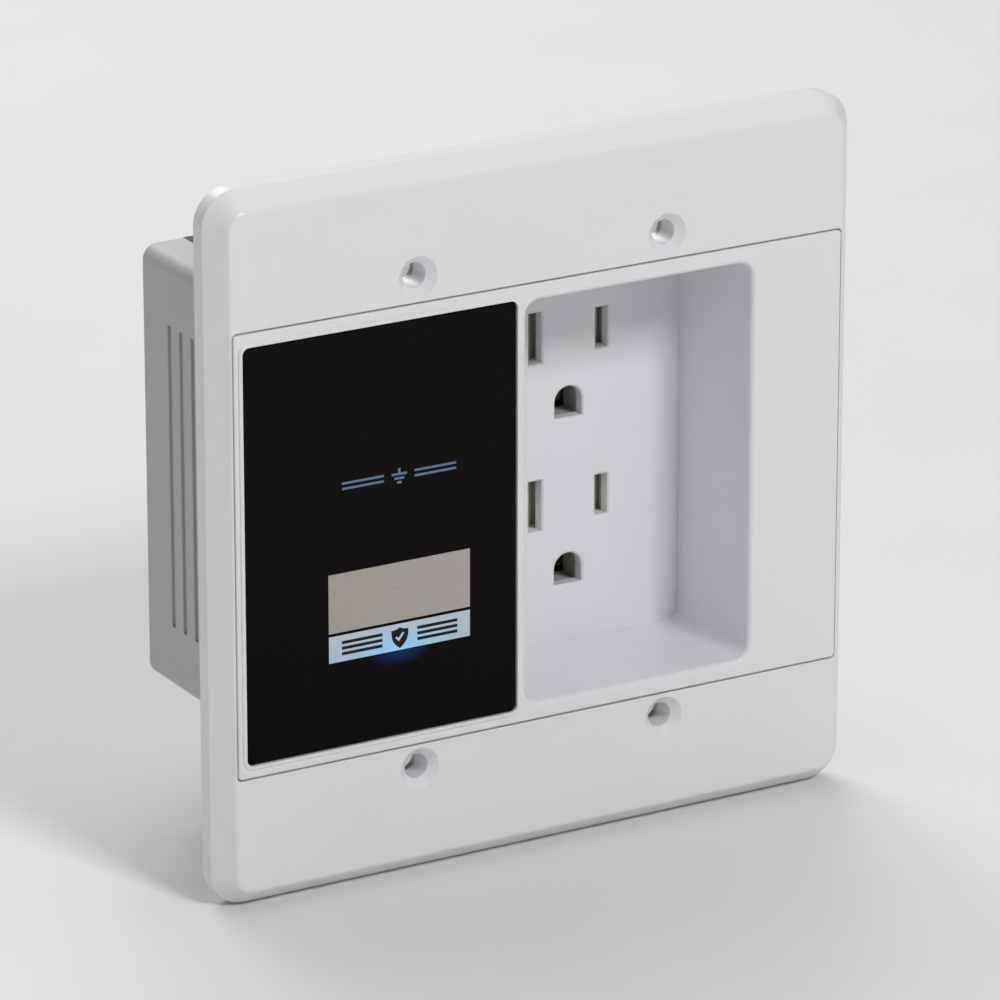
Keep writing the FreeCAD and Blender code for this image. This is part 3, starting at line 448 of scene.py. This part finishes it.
# ---- pieces that Blender adds --------------------------------------------------------------
RIGHT, LEFT, UP = (1, 0, 0), (-1, 0, 0), (0, 0, 1)
OUTWARDS = (0, -1, 0)         # out of the wall
PRINT_MM = 0.03               # thickness of ink
CORNER_STEPS = 6              # straight pieces in a rounded corner


def new_piece(name, mesh, body, slot, finish=None):
    """An object made from a bmesh, which rides on a body and takes its slot's finish or its own."""
    data = bpy.data.meshes.new(name)
    bmesh.ops.recalc_face_normals(mesh, faces=mesh.faces)
    mesh.to_mesh(data)
    mesh.free()
    piece = bpy.data.objects.new(name, data)
    bpy.context.scene.collection.objects.link(piece)
    data.materials.append((finish or finishes[slot]).material)
    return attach(piece, body)


def middle_of(low, high):
    return (low + high) / 2


class Sheet:
    """A flat place on the object, where outlines given in millimetres become thin plates."""

    def __init__(self, origin, right, up):
        self.mesh = bmesh.new()
        self.origin, self.right, self.up = origin, Vector(right), Vector(up)
        self.out = self.right.cross(self.up)

    def ring(self, outline, rise):
        """The outline's corners, this far above the sheet."""
        return [self.mesh.verts.new(self.origin + (self.right * u + self.up * v + self.out * rise) * MM)
                for u, v in outline]

    def wall(self, first, second):
        """Faces between two rings of the same number of corners."""
        count = len(first)
        for i in range(count):
            j = (i + 1) % count
            self.mesh.faces.new((first[i], first[j], second[j], second[i]))

    def plate(self, outline, thickness=PRINT_MM):
        bottom, top = self.ring(outline, 0.0), self.ring(outline, thickness)
        self.mesh.faces.new(bottom[::-1])
        self.mesh.faces.new(top)
        self.wall(bottom, top)

    def frame(self, centre, size, line, thickness=PRINT_MM):
        """A rectangular frame, whose line runs inside the size."""
        outer, inner = bar(centre, size), bar(centre, (size[0] - 2 * line, size[1] - 2 * line))
        rings = [self.ring(outer, 0.0), self.ring(outer, thickness),
                 self.ring(inner, thickness), self.ring(inner, 0.0)]
        for first, second in zip(rings, rings[1:] + rings[:1]):
            self.wall(first, second)

    def earth(self, centre, size):
        """The earth symbol, a stem over three bars; size is the width of the widest."""
        u, v = centre
        line = 0.12 * size
        self.plate(bar((u, v + 0.38 * size), (line, 0.64 * size)))
        for row, width in enumerate((1.0, 0.64, 0.28)):
            self.plate(bar((u, v - 0.24 * size * row), (width * size, line)))


def bar(centre, size):
    """Rectangle, anticlockwise."""
    u, v = centre
    du, dv = size[0] / 2, size[1] / 2
    return [(u - du, v - dv), (u + du, v - dv), (u + du, v + dv), (u - du, v + dv)]


def arc(centre, radius, start, end, steps):
    """Points on a circle between two angles in degrees."""
    points = []
    for i in range(steps + 1):
        angle = math.radians(start + (end - start) * i / steps)
        points.append((centre[0] + radius * math.cos(angle), centre[1] + radius * math.sin(angle)))
    return points


def rounded(centre, size, radius):
    """Rectangle with round corners, anticlockwise."""
    u, v = centre
    du, dv = size[0] / 2 - radius, size[1] / 2 - radius
    points = []
    for start, su, sv in ((0, 1, 1), (90, -1, 1), (180, -1, -1), (270, 1, -1)):
        points += arc((u + su * du, v + sv * dv), radius, start, start + 90, CORNER_STEPS)
    return points


def shield(size):
    """Pointed shield, anticlockwise from its tip; size is half its width."""
    right_side = [(0.0, -1.25), (0.45, -0.9), (0.8, -0.45), (0.97, 0.05), (1.0, 0.6), (1.0, 0.78)]
    top = [(0.55, 0.82), (0.22, 0.92), (0.0, 1.05)]
    half = right_side + top
    whole = half + [(-u, v) for u, v in reversed(half[1:-1])]
    return [(u * size, v * size) for u, v in whole]


def tick(size):
    """Tick mark, anticlockwise."""
    points = [(-0.15, -0.55), (0.62, 0.42), (0.38, 0.6), (-0.19, -0.13), (-0.45, 0.12), (-0.65, -0.08)]
    return [(u * size, v * size) for u, v in points]


# a shield with a tick between plain bars, printed on the lit bar
bar_face = middle_of(bar_low, bar_high)
mark = Sheet(bar_face, RIGHT, UP)
MARK_BAR = (7.4, 0.52)
MARK_BAR_OFFSET = 6.9
MARK_BAR_LEVELS = (-0.95, 0.0, 0.95)
SHIELD_HALF_WIDTH = 1.55
TICK_SIZE = 1.3
for side in (-1, 1):
    for level in MARK_BAR_LEVELS:
        mark.plate(bar((side * MARK_BAR_OFFSET, level), MARK_BAR))
mark.plate(shield(SHIELD_HALF_WIDTH))
new_piece("protected_mark", mark.mesh, "device", "black_moulding", black_ink)

over_print = Sheet(bar_face + Vector(OUTWARDS) * PRINT_MM * MM, RIGHT, UP)
over_print.plate(tick(TICK_SIZE))
new_piece("protected_tick", over_print.mesh, "device", "lit_bar")

# the rating label in the housing's shallow panel, with symbols and plain bars for print
housing_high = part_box("rear_housing")[1]
LABEL_SIZE = (62.0, 37.0)
LABEL_MM = 0.12               # thickness
LABEL_CORNER_R = 2.0
LABEL_Z = -7.0 * MM
PANEL_DEPTH = 0.5 * MM
label_place = Vector((0.0, housing_high.y - PANEL_DEPTH, LABEL_Z))
label = Sheet(label_place, LEFT, UP)
label.plate(rounded((0, 0), LABEL_SIZE, LABEL_CORNER_R), LABEL_MM)
half_label = Vector((LABEL_SIZE[0] / 2 * MM, 0, LABEL_SIZE[1] / 2 * MM))
film = label_film(label_place - half_label, label_place + half_label)
new_piece("rating_label", label.mesh, "device", "badge_silver", film)

BORDER, BORDER_LINE = (58.0, 33.0), 0.35
EARTH_BOX, OUTLET_BOX = (-19.5, 4.0), (-3.0, 4.0)      # framed symbols, side by side
SYMBOL_BOX, SYMBOL_LINE = (14.0, 20.0), 0.3
EARTH_RISE, EARTH_WIDTH = 1.5, 8.0
SLOT_LEVELS = (4.6, -3.6)                              # the two drawn outlets
WIDE_SLOT, NARROW_SLOT = (1.2, 4.2), (1.0, 3.4)
SLOT_OFFSET = 2.2
GROUND_HOLE_R, GROUND_HOLE_DROP, GROUND_HOLE_STEPS = 1.4, 4.2, 10
WORD_GAP = 1.0
LINES = ((9, 6), (5, 11), (12, 4), (7, 8), (10, 6), (4, 9), (8, 7))     # bars that stand for words
LINES_LEFT, LINES_TOP, LINE_PITCH, LINE_H = 8.0, 12.6, 2.9, 0.9
RATINGS = (9.75, 6.75, 11.25, 7.5)                     # a row of bars along the bottom
RATINGS_LEFT, RATING_PITCH, RATINGS_V, RATING_H = -20.5, 13.7, -11.4, 1.0
printed = Sheet(label_place + Vector((0, LABEL_MM * MM, 0)), LEFT, UP)
printed.frame((0, 0), BORDER, BORDER_LINE)
printed.frame(EARTH_BOX, SYMBOL_BOX, SYMBOL_LINE)
printed.earth((EARTH_BOX[0], EARTH_BOX[1] + EARTH_RISE), EARTH_WIDTH)
printed.frame(OUTLET_BOX, SYMBOL_BOX, SYMBOL_LINE)
for level in SLOT_LEVELS:
    u, v = OUTLET_BOX[0], OUTLET_BOX[1] + level
    printed.plate(bar((u - SLOT_OFFSET, v), WIDE_SLOT))
    printed.plate(bar((u + SLOT_OFFSET, v), NARROW_SLOT))
    printed.plate(arc((u, v - GROUND_HOLE_DROP), GROUND_HOLE_R, 0, 180, GROUND_HOLE_STEPS))
for row, lengths in enumerate(LINES):
    left = LINES_LEFT
    for word in lengths:
        printed.plate(bar((left + word / 2, LINES_TOP - LINE_PITCH * row), (word, LINE_H)))
        left += word + WORD_GAP
for column, word in enumerate(RATINGS):
    printed.plate(bar((RATINGS_LEFT + RATING_PITCH * column, RATINGS_V), (word, RATING_H)))
new_piece("label_print", printed.mesh, "device", "black_moulding", black_ink)

# a symbol by each terminal screw, upright as read from the back: a filled box for line, an open one
# for neutral, and the earth symbol
block_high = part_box("terminal_block")[1]
SYMBOL_SIZE = (3.0, 2.0)
OPEN_BOX_LINE = 0.4
SYMBOL_INSET = 2.6 * MM
symbols = Sheet(Vector((0, block_high.y - SYMBOL_INSET, block_high.z)), LEFT, OUTWARDS)
for pole in POLES:
    spot = (-middle_of(*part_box(f"{pole}_screw")).x / MM, 0)
    if pole == "ground":
        symbols.earth(spot, SYMBOL_SIZE[0])
    elif pole == "neutral":
        symbols.frame(spot, SYMBOL_SIZE, OPEN_BOX_LINE)
    else:
        symbols.plate(bar(spot, SYMBOL_SIZE))
new_piece("terminal_symbols", symbols.mesh, "device", "wire_white", white_ink)

# strip gauge beside the terminals: a bar as long as the bare end that a wire clamp takes
STRIP_LENGTH, STRIP_H = 14.0, 1.6
UNDERLINE_V, UNDERLINE_H = -3.0, 0.25
END_LINE, END_GAP = (0.3, 4.0), 0.6
GAUGE_FROM_BLOCK = 12.0 * MM
GAUGE_INSET = 6.0 * MM
gauge_place = Vector((block_high.x + GAUGE_FROM_BLOCK, block_high.y - GAUGE_INSET, housing_high.z))
gauge = Sheet(gauge_place, LEFT, OUTWARDS)
gauge.plate(bar((0, 0), (STRIP_LENGTH, STRIP_H)))
gauge.plate(bar((0, UNDERLINE_V), (STRIP_LENGTH, UNDERLINE_H)))
for side in (-1, 1):
    gauge.plate(bar((side * (STRIP_LENGTH / 2 + END_GAP), 0), END_LINE))
new_piece("strip_gauge", gauge.mesh, "device", "black_moulding", black_ink)


# ---- circuit board: tracks on its front, and solder where the leads meet its back ----------
# where leads come through the board: places along X and along Z, in millimetres
LEAD_GRIDS = (
    ((-36.75, -29.25), (14.0, 5.0, -4.0)),             # varistors
    ((-39.1, -26.9), (9.5, 0.5, -8.6)),                # thermal fuses
    ((-24.8, -15.2), (19.0, 22.4)),                    # resistors
    ((-40.2, -31.8), (19.4, 23.0)),                    # diodes
    ((-40.0, -28.0), (-17.5,)),                        # filter capacitor
    ((-19.0, -13.0), (13.75, -1.75)),                  # fuse clips
)
LEADS = [(x, z) for columns, rows in LEAD_GRIDS for x in columns for z in rows]
# middle and size of each track, in millimetres
TRACKS = (
    ((-34.5, 9.5), (11.4, 1.8)),
    ((-33.0, -8.6), (14.4, 1.8)),
    ((-21.9, 13.9), (14.0, 2.6)),
    ((-21.0, -4.0), (14.6, 2.6)),
    ((-20.0, 20.7), (9.0, 0.8)),
    ((-36.0, 21.2), (8.0, 0.8)),
    ((-34.0, -17.5), (12.0, 2.2)),
    ((-42.4, 2.0), (1.6, 36.0)),
    ((-8.6, -4.0), (2.4, 30.0)),
)
TRACK_ROUNDING = 0.45         # radius of its ends, as a share of its width
TRACK_MM = 0.05
tracks = Sheet(Vector((0, board_low.y, 0)), RIGHT, UP)
for track_centre, track_size in TRACKS:
    tracks.plate(rounded(track_centre, track_size, min(track_size) * TRACK_ROUNDING), TRACK_MM)
raised_mask = moulded("raised_mask", rgb(0.03, 0.30, 0.12), roughness=0.3, edge_mm=0.0, coat=0.5)
new_piece("board_tracks", tracks.mesh, "device", "circuit_board", raised_mask)


def circle(centre, across, other, radius, sides):
    """Points round a centre, in the plane of two directions."""
    angles = [2 * math.pi * k / sides for k in range(sides)]
    return [centre + (across * math.cos(a) + other * math.sin(a)) * radius for a in angles]


def skin(mesh, rings):
    """A closed surface over rings of points: smooth sides and a flat face at each end."""
    loops = [[mesh.verts.new(point) for point in ring] for ring in rings]
    for first, second in zip(loops, loops[1:]):
        for k in range(len(first)):
            j = (k + 1) % len(first)
            mesh.faces.new((first[k], first[j], second[j], second[k])).smooth = True
    mesh.faces.new(loops[0][::-1])
    mesh.faces.new(loops[-1])


SOLDER_SIDES = 12
# radius and rise of each ring of a joint, in millimetres
FILLET = ((1.15, 0.0), (1.05, 0.08), (0.78, 0.22), (0.58, 0.42), (0.47, 0.62), (0.38, 0.70))
solder_mesh = bmesh.new()
for x, z in LEADS:
    foot = Vector((x * MM, board_high.y, z * MM))
    skin(solder_mesh, [
        circle(foot + Vector((0, rise * MM, 0)), Vector(RIGHT), Vector(UP), radius * MM, SOLDER_SIDES)
        for radius, rise in FILLET])
solder = plated(
    "solder", rgb(0.60, 0.60, 0.59), roughness=0.24, per_mm=1.2, spangle=0.04, edge_mm=0.0)
new_piece("solder_joints", solder_mesh, "device", "tinned_clip", solder)


# ---- return springs of the shutters ----------------------------------------------------------
SPRING_WIRE = 0.16 * MM       # radius
CLOSED_PITCH = 2.1 * SPRING_WIRE        # just over the wire's thickness
SPRING_COILS = 5              # open ones
CLOSED_COILS = 1              # at each end
COIL_STEPS = 24               # points in a coil
WIRE_SIDES = 8


def spring_path(start, reach, radius):
    """Helix along X from a start on its axis, whose end coils lie flat against their neighbours."""
    open_pitch = (reach - 2 * CLOSED_COILS * CLOSED_PITCH) / SPRING_COILS
    points = []
    for i in range((SPRING_COILS + 2 * CLOSED_COILS) * COIL_STEPS + 1):
        turns = i / COIL_STEPS
        open_turns = min(max(turns - CLOSED_COILS, 0.0), SPRING_COILS)
        along = open_turns * open_pitch + (turns - open_turns) * CLOSED_PITCH
        angle = 2 * math.pi * turns
        points.append(start + Vector((along, radius * math.cos(angle), radius * math.sin(angle))))
    return points


def tube(path, radius, sides):
    """Rings of points round a path, without twist."""
    rings = []
    side_axis = Vector(UP)
    for i, point in enumerate(path):
        ahead = (path[min(i + 1, len(path) - 1)] - path[max(i - 1, 0)]).normalized()
        side_axis = (side_axis - ahead * side_axis.dot(ahead)).normalized()
        rings.append(circle(point, side_axis, ahead.cross(side_axis), radius, sides))
    return rings


for outlet in OUTLETS:
    spring_low, spring_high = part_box(f"shutter_spring_{outlet}")
    middle = middle_of(spring_low, spring_high)
    length = spring_high.x - spring_low.x
    coil_radius = (spring_high.z - spring_low.z) / 2 - SPRING_WIRE
    fixed_end = Vector((spring_low.x, middle.y, middle.z))
    path = spring_path(fixed_end + Vector((SPRING_WIRE, 0, 0)), length - 2 * SPRING_WIRE, coil_radius)
    coil_mesh = bmesh.new()
    skin(coil_mesh, tube(path, SPRING_WIRE, WIRE_SIDES))
    spring = new_piece(f"return_spring_{outlet}", coil_mesh, "device", "spring_steel")
    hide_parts(f"shutter_spring_{outlet}")
    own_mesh(spring)


# ---- stage, light and camera ---------------------------------------------------------------
low, high = cad_bounds
centre = middle_of(low, high)
FLOOR_REACH = 4.0
FLOOR_GAP = 0.2 * MM


def pale_floor():
    """A square of matt paper, a hair under the object."""
    mesh = bmesh.new()
    corners = bar((0, 0), (2 * FLOOR_REACH, 2 * FLOOR_REACH))
    mesh.faces.new([mesh.verts.new((x, y, low.z - FLOOR_GAP)) for x, y in corners])
    data = bpy.data.meshes.new("floor")
    mesh.to_mesh(data)
    mesh.free()
    floor = bpy.data.objects.new("floor", data)
    bpy.context.scene.collection.objects.link(floor)
    f = Finish("pale_floor")
    paper = f.noise(0.02, 4.0)
    f.set(Base_Color=f.blend(paper, rgb(0.77, 0.77, 0.77), rgb(0.81, 0.81, 0.81)), Roughness=0.75)
    data.materials.append(f.material)


def soft_light(name, place, size, watts):
    """An area light at a place from the object's centre, which it faces."""
    data = bpy.data.lights.new(name, "AREA")
    data.shape = "RECTANGLE"
    data.size, data.size_y = size
    data.energy = watts
    lamp = bpy.data.objects.new(name, data)
    lamp.location = centre + Vector(place)
    lamp.rotation_euler = (-Vector(place)).to_track_quat("-Z", "Y").to_euler()
    bpy.context.scene.collection.objects.link(lamp)


pale_floor()
soft_light("key", place=(0.14, -0.96, 0.82), size=(0.26, 0.26), watts=7.2)
soft_light("fill", place=(-0.95, -0.6, 0.15), size=(0.7, 0.7), watts=0.7)
soft_light("back", place=(0.2, 0.9, 0.9), size=(0.9, 0.7), watts=6)
soft_light("overhead", place=(0.0, 0.8, 2.2), size=(3.0, 3.0), watts=26)

WARM_SKY = rgb(0.98, 0.95, 0.88)
SKY_STRENGTH = 0.18
world = bpy.data.worlds.new("studio")
world.use_nodes = True
background = world.node_tree.nodes["Background"]
background.inputs["Color"].default_value = WARM_SKY
background.inputs["Strength"].default_value = SKY_STRENGTH
bpy.context.scene.world = world
bpy.context.scene.view_settings.view_transform = "Standard"

AZIMUTH, ELEVATION = math.radians(-30), math.radians(19.5)
DISTANCE = 1.15
LENS, SENSOR = 252, 36        # millimetres
CLIP_NEAR, CLIP_FAR = 0.05, 20
CENTRING_ROUNDS = 4


def box_corners(node):
    """The eight corners of a node's bounding box."""
    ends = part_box(node)
    return [Vector((x.x, y.y, z.z)) for x in ends for y in ends for z in ends]


def centred(place, turn, points):
    """The camera's place, moved sideways until the points are in the middle of its view."""
    right, up, back = (turn @ Vector(axis) for axis in ((1, 0, 0), (0, 1, 0), (0, 0, 1)))
    for _ in range(CENTRING_ROUNDS):
        for sight in (right, up):
            slopes = [(point - place).dot(sight) / (place - point).dot(back) for point in points]
            place = place + sight * (min(slopes) + max(slopes)) / 2 * DISTANCE
    return place


camera_data = bpy.data.cameras.new("camera")
camera_data.lens = LENS
camera_data.sensor_width = SENSOR
camera_data.clip_start, camera_data.clip_end = CLIP_NEAR, CLIP_FAR
camera = bpy.data.objects.new("camera", camera_data)
bpy.context.scene.collection.objects.link(camera)
camera_back = Vector((math.sin(AZIMUTH) * math.cos(ELEVATION), -math.cos(AZIMUTH) * math.cos(ELEVATION),
                      math.sin(ELEVATION)))
turn = camera_back.to_track_quat("Z", "Y")
seen_points = box_corners("wall_plate") + box_corners("rear_housing")
camera.location = centred(centre + camera_back * DISTANCE, turn, seen_points)
camera.rotation_euler = turn.to_euler()
bpy.context.scene.camera = camera
